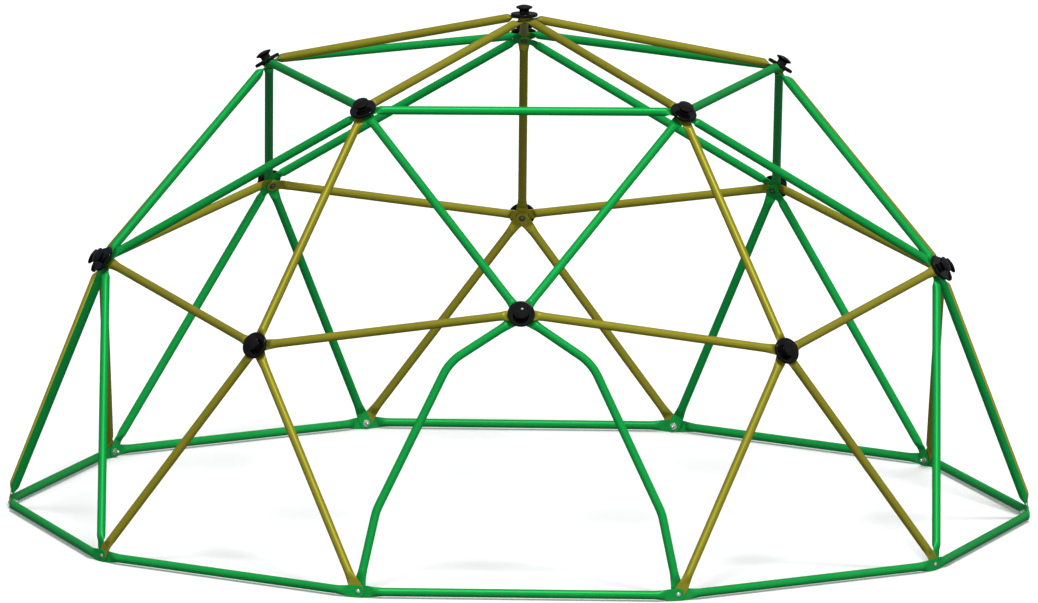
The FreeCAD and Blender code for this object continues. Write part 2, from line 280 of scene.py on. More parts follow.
def build_mesh(name, surfaces, tones):
    """One mesh from several closed surfaces, each with its own tone of the finish."""
    points, faces, rub, tone = [], [], [], []
    for surface, shade in zip(surfaces, tones):
        first = len(points)
        points.extend(surface.points)
        faces.extend(tuple(first + i for i in face) for face in surface.faces)
        rub.extend(surface.rub)
        tone.extend([shade] * len(surface.points))
    mesh = bpy.data.meshes.new(name)
    mesh.from_pydata(points, [], faces)
    shell = bmesh.new()
    shell.from_mesh(mesh)
    bmesh.ops.recalc_face_normals(shell, faces=shell.faces)
    shell.to_mesh(mesh)
    shell.free()
    for key, values in (("rub", rub), ("tone", tone)):
        mesh.attributes.new(key, "FLOAT", "POINT").data.foreach_set("value", values)
    mesh.shade_smooth()
    mesh.set_sharp_from_angle(angle=SHARP_ANGLE)
    return mesh


# ---- Tube meshes ----

EDGE_ANGLES = [math.radians(a) for a in (90, 50, 12, 0, -12, -50, -90)]
FOLDED_EDGE = [(math.cos(a), math.sin(a)) for a in EDGE_ANGLES]
# the sheared tip is squarer, with a fine groove between the two pressed walls
CUT_EDGE = [(0, 1), (0.88, 0.97), (1, 0.12), (0.78, 0), (1, -0.12), (0.88, -0.97), (0, -1)]
FOLD_POINTS = len(EDGE_ANGLES) - 2
FACE_HALF_W = PLATE_HALF_W - PLATE_T / 2    # the flat part between the folds
HOLE_CHAMFER = 0.0003
FACE_RINGS = (0.35, 0.75, 0.96)             # shares of the way from the hole to the edge
# how much each part of a tube gets rubbed, from 0, the round run, to 1
RUB_FOLD, RUB_RIM, RUB_HOLE, RUB_FACE, RUB_CRIMP = 1.0, 0.7, 0.6, 0.35, 0.6


def mix(a, b, share):
    return a + (b - a) * share


def ease(share):
    """Smooth step from 0 to 1."""
    share = min(max(share, 0.0), 1.0)
    return share * share * (3 - 2 * share)


def flat_section():
    """Across and up offsets of a flattened section, over the top and back underneath."""
    half_t = PLATE_T / 2
    shares = [i / (TOP_POINTS - 1) for i in range(TOP_POINTS)]
    top = [(mix(FACE_HALF_W, -FACE_HALF_W, share), half_t) for share in shares]
    fold = [(-FACE_HALF_W - out * half_t, lift * half_t) for out, lift in FOLDED_EDGE[1:-1]]
    half = top + fold
    return half + [(-across, -up) for across, up in half]


def round_section():
    """The same number of offsets round the full tube, starting at its right-hand fold."""
    edge = CRIMP_EDGE
    top = [mix(edge, math.pi - edge, i / (TOP_POINTS - 1)) for i in range(TOP_POINTS)]
    gap = 2 * edge / (FOLD_POINTS + 1)
    fold = [math.pi - edge + gap * (i + 1) for i in range(FOLD_POINTS)]
    half = [(TUBE_R * math.cos(a), TUBE_R * math.sin(a)) for a in top + fold]
    return half + [(-across, -up) for across, up in half]


FLAT, ROUND = flat_section(), round_section()
FLAT_EDGE_X, ROUND_EDGE_X = FLAT[0][0], ROUND[0][0]     # where the top ends and the fold starts


def section_ring(centre, across, up, narrowed=1.0, opened=1.0):
    """A section between the flat, at 0 and 0, and the full round, at 1 and 1."""
    ring = []
    for (flat_x, flat_y), (round_x, round_y) in zip(FLAT, ROUND):
        x, y = mix(flat_x, round_x, narrowed), mix(flat_y, round_y, opened)
        ring.append(centre + across * x + up * y)
    return ring


class FlatEnd:
    """The flattened end of a tube at one hub.

    side is -1 at a tube's far end, which keeps its rings in step with the near end's.
    """

    def __init__(self, hub, tube, next_point, reach=PLATE_REACH, side=1):
        self.centre = hub.end_centre(tube)
        self.axis = hub.axis
        heading = next_point - self.centre
        self.flat_dir = (heading - self.axis * heading.dot(self.axis)).normalized()
        right = self.flat_dir.cross(self.axis)
        self.across = right * side
        self.reach = reach
        self.crimp_length = RAISED_CRIMP_LENGTH if hub.axis.z > 0 else BASE_CRIMP_LENGTH
        self.knee = self.centre + self.flat_dir * reach
        self.tube_dir = (next_point - self.knee).normalized()
        self.up = right.cross(self.tube_dir)
        self.right = right
        self.round_centre = self.knee + self.tube_dir * TAPER_END

    def at(self, along, across, up):
        return self.centre + self.flat_dir * along + self.across * across + self.axis * up

    def narrowing(self, along):
        """How far the width has come from the flat's, 0, to the round tube's, 1."""
        return ease((along - TAPER_START) / (self.reach + TAPER_END - TAPER_START))

    def outline(self):
        """Along, across, outward direction and sharpness of the plate's edge, round the tip."""
        last = self.reach - KNEE
        sides = [last * (1 - i / SIDE_STEPS) for i in range(SIDE_STEPS)]
        widths = [mix(FLAT_EDGE_X, ROUND_EDGE_X, self.narrowing(u)) for u in sides]
        left = [(u, -half_w, (0, -1), 0.0) for u, half_w in zip(sides, widths)]
        right = [(u, half_w, (0, 1), 0.0) for u, half_w in zip(reversed(sides), reversed(widths))]
        tip = []
        for i in range(TIP_STEPS + 1):
            angle = math.pi * i / TIP_STEPS
            out = (-math.sin(angle), -math.cos(angle))
            sharp = ease(4 * min(i, TIP_STEPS - i) / TIP_STEPS)
            tip.append((out[0] * FACE_HALF_W, out[1] * FACE_HALF_W, out, sharp))
        return left + tip + right

    def face(self, surface, outer, side):
        """Rings from the bolt hole out to the outline, on the outer or inner face."""
        rows = []
        angles = [math.atan2(across, along) for along, across in outer]
        for radius, height in (
            (BOLT_HOLE_R, PLATE_T / 2 - HOLE_CHAMFER),
            (BOLT_HOLE_R + HOLE_CHAMFER, PLATE_T / 2),
        ):
            circle = [(radius * math.cos(a), radius * math.sin(a)) for a in angles]
            rows.append(surface.row([self.at(u, v, side * height) for u, v in circle], RUB_HOLE))
        for share in FACE_RINGS:
            ring = [(mix(a[0], b[0], share), mix(a[1], b[1], share)) for a, b in zip(circle, outer)]
            rows.append(surface.row([self.at(u, v, side * PLATE_T / 2) for u, v in ring], RUB_FACE))
        rows.append(surface.row([self.at(u, v, side * PLATE_T / 2) for u, v in outer], RUB_RIM))
        surface.skin(rows)
        return rows

    def edge_rows(self, surface, edge, top, bottom):
        """Rows round the plate's edge, from the top face's outer row to the bottom one's."""
        def edge_path(row):
            return [row[TOP_POINTS - 1]] + row[TOP_POINTS:] + [row[0]]

        rows = [edge_path(top)]
        for folded, cut in zip(FOLDED_EDGE[1:-1], CUT_EDGE[1:-1]):
            points = []
            for u, v, out, sharp in edge:
                reach = mix(folded[0], cut[0], sharp) * PLATE_T / 2
                lift = mix(folded[1], cut[1], sharp) * PLATE_T / 2
                points.append(self.at(u + out[0] * reach, v + out[1] * reach, lift))
            rows.append(surface.row(points, RUB_FOLD))
        rows.append(edge_path(bottom))
        for first, second in zip(rows, rows[1:]):
            surface.bridge(first, second, closed=False)
        return rows

    def plate(self, surface):
        """The flattened end itself. Returns the row where the tube goes on."""
        last = self.reach - KNEE
        narrowed = self.narrowing(last)
        knee_line = [
            (last, mix(flat[0], full[0], narrowed))
            for flat, full in zip(FLAT[:TOP_POINTS], ROUND)
        ]
        edge = self.outline()
        outer = knee_line + [(u, v) for u, v, _, _ in edge[1:-1]]
        top = self.face(surface, outer, 1)
        bottom = self.face(surface, outer, -1)
        surface.bridge(top[0], bottom[0])
        rows = self.edge_rows(surface, edge, top[-1], bottom[-1])
        left_fold = [row[0] for row in rows[1:-1]]
        right_fold = [row[-1] for row in reversed(rows[1:-1])]
        return (
            top[-1][:TOP_POINTS] + left_fold + list(reversed(bottom[-1][:TOP_POINTS])) + right_fold
        )

    def rings(self):
        """Sections of the knee and the crimp, from the plate to the full round."""
        found = []
        before = self.knee - self.flat_dir * KNEE
        after = self.knee + self.tube_dir * KNEE
        for i in range(1, KNEE_STEPS + 1):
            t = i / KNEE_STEPS
            point = before.lerp(self.knee, t).lerp(self.knee.lerp(after, t), t)
            ahead = self.flat_dir.lerp(self.tube_dir, t).normalized()
            found.append((point, self.right.cross(ahead), (point - self.knee).dot(self.tube_dir)))
        for i in range(1, CRIMP_STEPS + 1):
            passed = mix(KNEE, TAPER_END, i / CRIMP_STEPS)
            found.append((self.knee + self.tube_dir * passed, self.up, passed))
        rings = []
        for point, up, passed in found:
            narrowed = self.narrowing(self.reach + passed)
            opened = ease(passed / self.crimp_length) ** CRIMP_HASTE
            ring = section_ring(point, self.across, up, narrowed, opened)
            rings.append((ring, RUB_CRIMP * (1 - opened)))
        return rings


def arc_stations(before, corner, after):
    """Points and directions along the tangent arc that rounds one corner."""
    back = (before - corner).normalized()
    ahead = (after - corner).normalized()
    turn = math.pi - back.angle(ahead)
    centre = corner + (back + ahead).normalized() * (DOOR_BEND_R / math.cos(turn / 2))
    start = corner + back * (DOOR_BEND_R * math.tan(turn / 2))
    spin = back.cross(ahead).normalized() * -1
    count = math.ceil(turn / BEND_STEP)
    stations = []
    for i in range(count + 1):
        rotation = Matrix.Rotation(turn * i / count, 3, spin)
        stations.append((centre + rotation @ (start - centre), rotation @ -back))
    return stations


def path_stations(points):
    """Points and directions along the round part of a tube, close together in its bends."""
    stations = [(points[0], (points[1] - points[0]).normalized())]
    for before, corner, after in zip(points, points[1:], points[2:]):
        stations += arc_stations(before, corner, after)
    stations.append((points[-1], (points[-1] - points[-2]).normalized()))
    filled = [stations[0]]
    for point, ahead in stations[1:]:
        start = filled[-1][0]
        count = max(1, math.ceil((point - start).length / RUN_STEP))
        filled += [(start.lerp(point, i / count), ahead) for i in range(1, count)]
        filled.append((point, ahead))
    return filled


def round_rings(first, second, points):
    """Rings of the round tube, turned little by little so that both crimps meet them in step."""
    stations = path_stations(points)
    across, ahead = first.across, stations[0][1]
    frames, lengths = [], [0.0]
    for point, direction in stations:
        across = ahead.rotation_difference(direction) @ across
        ahead = direction
        if frames:
            lengths.append(lengths[-1] + (point - frames[-1][0]).length)
        frames.append((point, ahead, across))
    miss = math.atan2(across.cross(second.across).dot(ahead), across.dot(second.across))
    rings = []
    for (point, ahead, across), length in zip(frames[1:-1], lengths[1:-1]):
        turned = Matrix.Rotation(miss * length / lengths[-1], 3, ahead) @ across
        rings.append((section_ring(point, turned, turned.cross(ahead)), 0.0))
    return rings


def straight_knees(tube):
    """A straight tube bends at both hubs, so each end heads for the other end's knee."""
    start, end = tube.start.end_centre(tube), tube.end.end_centre(tube)
    aims = [end, start]
    for _ in range(KNEE_ROUNDS):
        first = FlatEnd(tube.start, tube, aims[0])
        second = FlatEnd(tube.end, tube, aims[1], side=-1)
        aims = [second.knee, first.knee]
    return first, second


def tube_surface(tube):
    if tube.corners:
        first = FlatEnd(tube.start, tube, tube.corners[0])
        second = FlatEnd(tube.end, tube, tube.corners[-1], DOOR_FOOT_REACH, side=-1)
    else:
        first, second = straight_knees(tube)
    surface = Surface()
    start_row, end_row = first.plate(surface), second.plate(surface)
    path = [first.round_centre] + tube.corners + [second.round_centre]
    rings = first.rings() + round_rings(first, second, path) + list(reversed(second.rings()))
    rows = [surface.row(points, rub) for points, rub in rings]
    surface.skin([start_row] + rows + [end_row])
    return surface


# ---- Turned parts, each made along +Z from the stack's face ----

def arc_profile(centre_r, centre_z, radius, from_deg, to_deg, steps):
    """Points on an arc in the half plane of radius and height."""
    angles = [math.radians(mix(from_deg, to_deg, i / steps)) for i in range(steps + 1)]
    return [(centre_r + radius * math.cos(a), centre_z + radius * math.sin(a)) for a in angles]


def crown_profile(rim_r, rim_z, top_z, steps, inner_r=0.0):
    """A spherical cap from its rim towards its top, stopping at inner_r."""
    rise = abs(top_z - rim_z)
    up = math.copysign(1, top_z - rim_z)
    sphere_r = (rim_r ** 2 + rise ** 2) / (2 * rise)
    outer, inner = math.asin(rim_r / sphere_r), math.asin(inner_r / sphere_r)
    angles = [mix(outer, inner, i / steps) for i in range(steps + 1)]
    return [
        (sphere_r * math.sin(a), top_z - up * sphere_r * (1 - math.cos(a))) for a in angles
    ]


def circle_row(surface, radius, height, sides):
    angles = [2 * math.pi * i / sides for i in range(sides)]
    points = [Vector((radius * math.cos(a), radius * math.sin(a), height)) for a in angles]
    return surface.row(points)


def lathe(profile, sides, ring=False):
    """Turn a profile about Z. It ends on the axis at both ends, unless it is a ring."""
    surface = Surface()
    inner = profile if ring else profile[1:-1]
    rows = [circle_row(surface, radius, height, sides) for radius, height in inner]
    surface.skin(rows + rows[:1] if ring else rows)
    if not ring:
        surface.cap(rows[0], Vector((0, 0, profile[0][1])))
        surface.cap(rows[-1], Vector((0, 0, profile[-1][1])))
    return surface


SEAM_H = 0.0001              # moulding seam that stands proud round each rim
SEAM_HALF_W = 0.0003
GATE_R = 0.0022              # shallow round mark of the moulding gate
GATE_DEPTH = 0.0004
SMALL_EDGE = 0.0004          # broken edge of the turned and moulded parts
FINE_EDGE = 0.0002           # the same round the bolt heads and the nut's cap
HEAD_RIM_SHARE = 0.25        # straight part of a bolt head, as a share of its height
NUT_FACE_SHARE = 0.94        # the nut's bearing face, as a share of its width across flats


def seam(radius, height):
    return [
        (radius - SEAM_H, height - SEAM_HALF_W),
        (radius, height),
        (radius - SEAM_H, height + SEAM_HALF_W),
    ]


def knob_surface():
    """Boss, broad flange, waisted neck and a low mushroom head, with a bore for the insert."""
    flange_r, edge = FLANGE_R - SEAM_H, FLANGE_EDGE_R
    low, high = KNOB_SEAT_H, KNOB_SEAT_H + FLANGE_H
    head_r = HEAD_R - SEAM_H
    rim_low, rim_high = HEAD_UNDER + HEAD_RIM_BULGE, HEAD_RIM_TOP - HEAD_RIM_BULGE
    gate_rim = crown_profile(HEAD_R - HEAD_RIM_BULGE, HEAD_RIM_TOP, HEAD_TOP, 1, GATE_R)[-1][1]
    profile = [(0, INSERT_LENGTH), (INSERT_R, INSERT_LENGTH), (INSERT_R, 0)]
    profile += [(KNOB_SEAT_R - SMALL_EDGE, 0), (KNOB_SEAT_R, SMALL_EDGE)]
    profile += [(KNOB_SEAT_R, low), (KNOB_SEAT_R + 4 * SMALL_EDGE, low)]
    profile += arc_profile(flange_r - edge, low + edge, edge, -90, 0, 8)
    profile += seam(FLANGE_R, (low + high) / 2)
    profile += arc_profile(flange_r - edge, high - edge, edge, 0, 90, 8)
    for share in (0.1, 0.5, 0.9):
        profile.append((mix(flange_r - edge, NECK_R + NECK_FILLET, share), high))
    profile += arc_profile(NECK_R + NECK_FILLET, high + NECK_FILLET, NECK_FILLET, 270, 180, 6)
    profile += [(NECK_R, NECK_TOP - NECK_BLEND)]
    profile += [(NECK_R + 0.6 * NECK_BLEND, NECK_TOP + 0.5 * NECK_BLEND)]
    profile += [(HEAD_R - 2 * HEAD_RIM_BULGE, HEAD_UNDER - 0.5 * HEAD_RIM_BULGE)]
    profile += arc_profile(head_r - HEAD_RIM_BULGE, rim_low, HEAD_RIM_BULGE, -60, 0, 4)
    profile += seam(HEAD_R, (rim_low + rim_high) / 2)
    profile += arc_profile(head_r - HEAD_RIM_BULGE, rim_high, HEAD_RIM_BULGE, 0, 60, 4)
    profile += crown_profile(HEAD_R - 2 * HEAD_RIM_BULGE, HEAD_RIM_TOP, HEAD_TOP, 14, GATE_R)
    profile += [(GATE_R - GATE_DEPTH, gate_rim - GATE_DEPTH), (0, gate_rim - GATE_DEPTH)]
    return lathe(profile, KNOB_SIDES)


def insert_surface():
    """Threaded sleeve with two grooves that lock it into the plastic, closed at its far end."""
    groove, bore_end = 0.0006, INSERT_LENGTH - WALL
    profile = [(0, bore_end), (INSERT_BORE_R, bore_end), (INSERT_BORE_R, SMALL_EDGE)]
    profile += [(INSERT_BORE_R + SMALL_EDGE, 0), (INSERT_R - SMALL_EDGE, 0), (INSERT_R, SMALL_EDGE)]
    for share in (0.3, 0.6):
        middle = INSERT_LENGTH * share
        profile += [(INSERT_R, middle - 2 * groove), (INSERT_R - groove, middle - groove)]
        profile += [(INSERT_R - groove, middle + groove), (INSERT_R, middle + 2 * groove)]
    profile += [(INSERT_R, INSERT_LENGTH - SMALL_EDGE), (INSERT_R - SMALL_EDGE, INSERT_LENGTH)]
    profile += [(0, INSERT_LENGTH)]
    return lathe(profile, FASTENER_SIDES)


def washer_surface():
    edge = 0.0003
    profile = [
        (BOLT_HOLE_R + edge, 0), (WASHER_R - edge, 0), (WASHER_R, edge),
        (WASHER_R, WASHER_T - edge), (WASHER_R - edge, WASHER_T),
        (BOLT_HOLE_R + edge, WASHER_T), (BOLT_HOLE_R, WASHER_T - edge), (BOLT_HOLE_R, edge),
    ]
    return lathe(profile, FASTENER_SIDES, ring=True)


def shank_profile(length):
    """A threaded shank from its end down to the head, with real thread ridges at the end."""
    chamfer, pitch, depth = 0.0008, 0.00125, 0.0006
    profile = [(0, length), (BOLT_R - chamfer, length)]
    turns = int((length / 2) / pitch)
    for turn in range(turns):
        top = length - chamfer - turn * pitch
        profile += [(BOLT_R, top), (BOLT_R - depth, top - pitch / 2)]
    return profile + [(BOLT_R, length - chamfer - turns * pitch), (BOLT_R, 0)]


def hexagon_radius(angle, corner_r):
    """Distance from the axis to a hexagon's side at this angle."""
    within = (angle % (math.pi / 3)) - math.pi / 6
    return corner_r * math.cos(math.pi / 6) / math.cos(within)


def hexagon_row(surface, corner_r, height_at):
    """A row on a hexagon. height_at gives the height for each distance from the axis."""
    points = []
    for i in range(FASTENER_SIDES):
        angle = 2 * math.pi * i / FASTENER_SIDES
        radius = hexagon_radius(angle, corner_r)
        points.append(Vector((
            radius * math.cos(angle), radius * math.sin(angle), height_at(radius)
        )))
    return surface.row(points)


def head_underside(surface, profile):
    rows = [circle_row(surface, radius, height, FASTENER_SIDES) for radius, height in profile[1:]]
    surface.cap(rows[0], Vector((0, 0, profile[0][1])))
    return rows


def hub_bolt_surface(grip):
    """Button-head bolt: the head points to -Z and has a hexagon socket."""
    surface = Surface()
    rim = HEAD_RIM_SHARE * BUTTON_HEAD_H
    mouth = SOCKET_R + SMALL_EDGE
    rows = head_underside(surface, shank_profile(grip + BOLT_IN_KNOB))
    head = [(BUTTON_HEAD_R - FINE_EDGE, 0), (BUTTON_HEAD_R, -FINE_EDGE)]
    head += crown_profile(BUTTON_HEAD_R, -rim, -BUTTON_HEAD_H, 8, mouth)
    rows += [circle_row(surface, radius, height, FASTENER_SIDES) for radius, height in head]
    rows.append(hexagon_row(surface, SOCKET_R, lambda r: head[-1][1] + SMALL_EDGE / 2))
    rows.append(hexagon_row(surface, SOCKET_R, lambda r: SOCKET_DEPTH - BUTTON_HEAD_H))
    surface.skin(rows)
    surface.cap(rows[-1], Vector((0, 0, SOCKET_DEPTH - BUTTON_HEAD_H + SMALL_EDGE)))
    return surface


def base_bolt_surface(grip):
    """Plain domed head outside, shank running inwards along +Z."""
    rim = HEAD_RIM_SHARE * DOME_HEAD_H
    profile = shank_profile(grip + BOLT_IN_NUT)
    profile += [(DOME_HEAD_R - FINE_EDGE, 0), (DOME_HEAD_R, -FINE_EDGE)]
    profile += crown_profile(DOME_HEAD_R, -rim, -DOME_HEAD_H, 10)
    return lathe(profile, FASTENER_SIDES)


def acorn_nut_surface():
    """Chamfered hexagon, short round cap and a closed dome, with a blind hole."""
    surface = Surface()
    corner_r = NUT_FLATS / 2 / math.cos(math.pi / 6)
    face_r = NUT_FACE_SHARE * NUT_FLATS / 2
    slope = math.tan(math.radians(30))
    cap_top = NUT_HEX_H + NUT_CAP_SIDE_H
    thread_end = BOLT_IN_NUT + WALL
    rows = [circle_row(surface, INSERT_BORE_R, thread_end, FASTENER_SIDES)]
    surface.cap(rows[0], Vector((0, 0, thread_end)))
    mouth = [(INSERT_BORE_R, SMALL_EDGE), (INSERT_BORE_R + SMALL_EDGE, 0), (face_r, 0)]
    rows += [circle_row(surface, radius, height, FASTENER_SIDES) for radius, height in mouth]
    rows.append(hexagon_row(surface, corner_r, lambda r: (r - face_r) * slope))
    rows.append(hexagon_row(surface, corner_r, lambda r: NUT_HEX_H - (r - face_r) * slope))
    cap = [(face_r, NUT_HEX_H)]
    cap += [(NUT_CAP_R + FINE_EDGE, NUT_HEX_H), (NUT_CAP_R, NUT_HEX_H + FINE_EDGE)]
    cap += crown_profile(NUT_CAP_R, cap_top, cap_top + NUT_CAP_R, 12, SMALL_EDGE)
    rows += [circle_row(surface, radius, height, FASTENER_SIDES) for radius, height in cap]
    surface.skin(rows)
    surface.cap(rows[-1], Vector((0, 0, cap_top + NUT_CAP_R)))
    return surface


# ---- Finishes ----

class Finish:
    """A material's node tree, with short calls for the nodes that the finishes share."""

    def __init__(self, name):
        self.material = bpy.data.materials.new(name)
        self.material.use_nodes = True
        self.tree = self.material.node_tree
        self.tree.nodes.clear()
        self.shader = self.add("ShaderNodeBsdfPrincipled")
        output = self.add("ShaderNodeOutputMaterial")
        self.tree.links.new(self.shader.outputs["BSDF"], output.inputs["Surface"])
        self.place = self.add("ShaderNodeTexCoord").outputs["Object"]

    def add(self, kind):
        return self.tree.nodes.new(kind)

    def feed(self, socket, value):
        """Link an output to a socket, or set the socket to a plain value."""
        if isinstance(value, bpy.types.NodeSocket):
            self.tree.links.new(value, socket)
        else:
            socket.default_value = value

    def noise(self, scale, detail=2.0, roughness=0.5):
        """Noise with features about 1 / scale metres wide."""
        texture = self.add("ShaderNodeTexNoise")
        self.feed(texture.inputs["Vector"], self.place)
        texture.inputs["Scale"].default_value = scale
        texture.inputs["Detail"].default_value = detail
        texture.inputs["Roughness"].default_value = roughness
        return texture.outputs["Fac"]

    def attribute(self, name):
        reader = self.add("ShaderNodeAttribute")
        reader.attribute_name = name
        return reader.outputs["Fac"]

    def spread(self, value, low, high, to_low=0.0, to_high=1.0):
        """Stretch the range low to high onto another range, clamped."""
        mapper = self.add("ShaderNodeMapRange")
        for socket, number in zip(mapper.inputs, (value, low, high, to_low, to_high)):
            self.feed(socket, number)
        return mapper.outputs["Result"]

    def calc(self, operation, first, second):
        """Add or multiply two values."""
        step = self.add("ShaderNodeMath")
        step.operation = operation
        self.feed(step.inputs[0], first)
        self.feed(step.inputs[1], second)
        return step.outputs["Value"]

    def blend(self, share, first, second):
        """Mix two colours."""
        mixer = self.add("ShaderNodeMix")
        mixer.data_type = "RGBA"
        self.feed(mixer.inputs["Factor"], share)
        for name, colour in (("A", first), ("B", second)):
            sockets = [s for s in mixer.inputs if s.name == name and s.type == "RGBA"]
            self.feed(sockets[0], colour)
        return [s for s in mixer.outputs if s.type == "RGBA"][0]

    def height(self):
        """Height above the ground."""
        parts = self.add("ShaderNodeSeparateXYZ")
        self.feed(parts.inputs["Vector"], self.place)
        return parts.outputs["Z"]

    def relief(self, *layers):
        """Bump from (height, depth in metres, strength) layers, coarse first."""
        normal = None
        for height, depth, strength in layers:
            bump = self.add("ShaderNodeBump")
            self.feed(bump.inputs["Height"], height)
            bump.inputs["Distance"].default_value = depth
            bump.inputs["Strength"].default_value = strength
            if normal is not None:
                self.feed(bump.inputs["Normal"], normal)
            normal = bump.outputs["Normal"]
        self.feed(self.shader.inputs["Normal"], normal)


def rgb(red, green, blue):
    return (red, green, blue, 1.0)


DUST = rgb(0.36, 0.33, 0.27)
BARE_STEEL = rgb(0.33, 0.34, 0.35)
COAT_METALLIC = 0.35         # how metallic the coat is, so that highlights keep its colour


def coat_wear(finish):
    """How scuffed, dusty and chipped the coat is, each from 0 to 1."""
    rub = finish.attribute("rub")
    scuffed = finish.spread(finish.noise(75.0, detail=7.0, roughness=0.72), 0.63, 0.74)
    scuffed = finish.calc("MULTIPLY", scuffed, finish.spread(rub, 0.0, 0.8, 0.12, 0.6))
    low = finish.spread(finish.height(), 0.0, 0.06, 0.035, 0.0)
    dusty = finish.calc("MULTIPLY", low, finish.spread(finish.noise(55.0, detail=5.0), 0.4, 0.65))
    chipped = finish.spread(finish.noise(520.0, detail=3.0, roughness=0.65), 0.66, 0.68)
    chipped = finish.calc("MULTIPLY", chipped, finish.spread(rub, 0.75, 0.95))
    return scuffed, dusty, chipped


def powder_coat(name, deep, full, rubbed):
    """Sprayed powder coat: uneven thickness, orange peel, light scuffs and rare edge chips."""
    finish = Finish(name)
    scuffed, dusty, chipped = coat_wear(finish)
    cloud = finish.noise(2.6, detail=3.0)
    streak = finish.noise(38.0, detail=4.0, roughness=0.6)
    peel = finish.noise(420.0, detail=1.5)
    grain = finish.noise(2600.0, detail=1.0)
    tone = finish.spread(finish.attribute("tone"), 0.0, 1.0, 0.0, 0.35)
    coverage = finish.calc("ADD", finish.spread(cloud, 0.3, 0.7, 0.0, 0.45), tone)
    coverage = finish.calc("ADD", coverage, finish.spread(streak, 0.35, 0.65, 0.0, 0.2))
    colour = finish.blend(coverage, deep, full)
    colour = finish.blend(finish.spread(grain, 0.35, 0.65, 0.0, 0.12), colour, deep)
    colour = finish.blend(scuffed, colour, rubbed)
    colour = finish.blend(dusty, colour, DUST)
    finish.feed(finish.shader.inputs["Base Color"], finish.blend(chipped, colour, BARE_STEEL))
    metallic = finish.spread(chipped, 0.0, 1.0, COAT_METALLIC, 0.9)
    finish.feed(finish.shader.inputs["Metallic"], metallic)
    finish.shader.inputs["Specular IOR Level"].default_value = 0.14
    rough = finish.spread(streak, 0.3, 0.7, 0.38, 0.48)
    rough = finish.calc("ADD", rough, finish.calc("MULTIPLY", scuffed, 0.18))
    rough = finish.calc("ADD", rough, finish.calc("MULTIPLY", dusty, 0.5))
    finish.feed(finish.shader.inputs["Roughness"], rough)
    finish.relief((peel, 0.0001, 0.3), (grain, 0.00003, 0.15), (chipped, -0.00008, 0.8))
    return finish.material


def moulded_plastic():
    """Glossy black moulded plastic with faint flow marks and fine scratches."""
    finish = Finish("black_plastic")
    flow = finish.noise(45.0, detail=3.0, roughness=0.6)
    grain = finish.noise(1900.0, detail=2.0)
    scratch = finish.spread(finish.noise(240.0, detail=8.0, roughness=0.8), 0.60, 0.72)
    black, dull_black = rgb(0.002, 0.002, 0.0022), rgb(0.005, 0.005, 0.0053)
    colour = finish.blend(finish.spread(flow, 0.3, 0.7), black, dull_black)
    colour = finish.blend(finish.calc("MULTIPLY", scratch, 0.2), colour, rgb(0.04, 0.04, 0.04))
    finish.feed(finish.shader.inputs["Base Color"], colour)
    rough = finish.spread(flow, 0.3, 0.7, 0.05, 0.09)
    rough = finish.calc("ADD", rough, finish.calc("MULTIPLY", scratch, 0.12))
    finish.feed(finish.shader.inputs["Roughness"], rough)
    finish.shader.inputs["Specular IOR Level"].default_value = 0.14
    finish.relief((flow, 0.0002, 0.12), (grain, 0.00001, 0.06))
    return finish.material


def zinc_plate(name, cool, warm):
    """Zinc plating: cloudy, with slightly cool and warm patches and fine handling marks."""
    finish = Finish(name)
    patch = finish.noise(160.0, detail=4.0, roughness=0.6)
    grain = finish.noise(3200.0, detail=2.0)
    mark = finish.spread(finish.noise(700.0, detail=6.0, roughness=0.75), 0.58, 0.7)
    colour = finish.blend(finish.spread(patch, 0.35, 0.65), cool, warm)
    colour = finish.blend(finish.calc("MULTIPLY", mark, 0.5), colour, rgb(0.36, 0.36, 0.36))
    finish.feed(finish.shader.inputs["Base Color"], colour)
    finish.shader.inputs["Metallic"].default_value = 1.0
    rough = finish.spread(patch, 0.3, 0.7, 0.22, 0.36)
    rough = finish.calc("ADD", rough, finish.calc("MULTIPLY", mark, 0.2))
    finish.feed(finish.shader.inputs["Roughness"], rough)
    finish.relief((patch, 0.00008, 0.3), (grain, 0.00002, 0.3))
    return finish.material


FINISHES = {
    "green_tube": powder_coat(
        "green_coat", rgb(0.002, 0.31, 0.050), rgb(0.004, 0.425, 0.066), rgb(0.06, 0.49, 0.16)
    ),
    "yellow_tube": powder_coat(
        "yellow_coat", rgb(0.244, 0.224, 0.015), rgb(0.334, 0.304, 0.019), rgb(0.46, 0.43, 0.10)
    ),
    "black_plastic": moulded_plastic(),
    "zinc_steel": zinc_plate("bright_zinc", rgb(0.62, 0.64, 0.68), rgb(0.76, 0.74, 0.68)),
}
# On the far hubs the bolt heads are seen dark, so the hub bolts and their washers get a darker copy
# of the zinc: painted shade.
SHADED_ZINC = zinc_plate("shaded_zinc", rgb(0.10, 0.105, 0.09), rgb(0.15, 0.145, 0.10))


# ---- Pieces ----

tones = random.Random(26)


def add_piece(prefix, node, finish, surfaces):
    """One object that stands for one CAD node."""
    name = f"{prefix}_{node}"
    mesh = build_mesh(name, surfaces, [tones.random() for _ in surfaces])
    mesh.materials.append(FINISHES[finish])
    piece = bpy.data.objects.new(name, mesh)
    bpy.context.scene.collection.objects.link(piece)
    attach(piece, "root")
    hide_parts(node)
    return piece


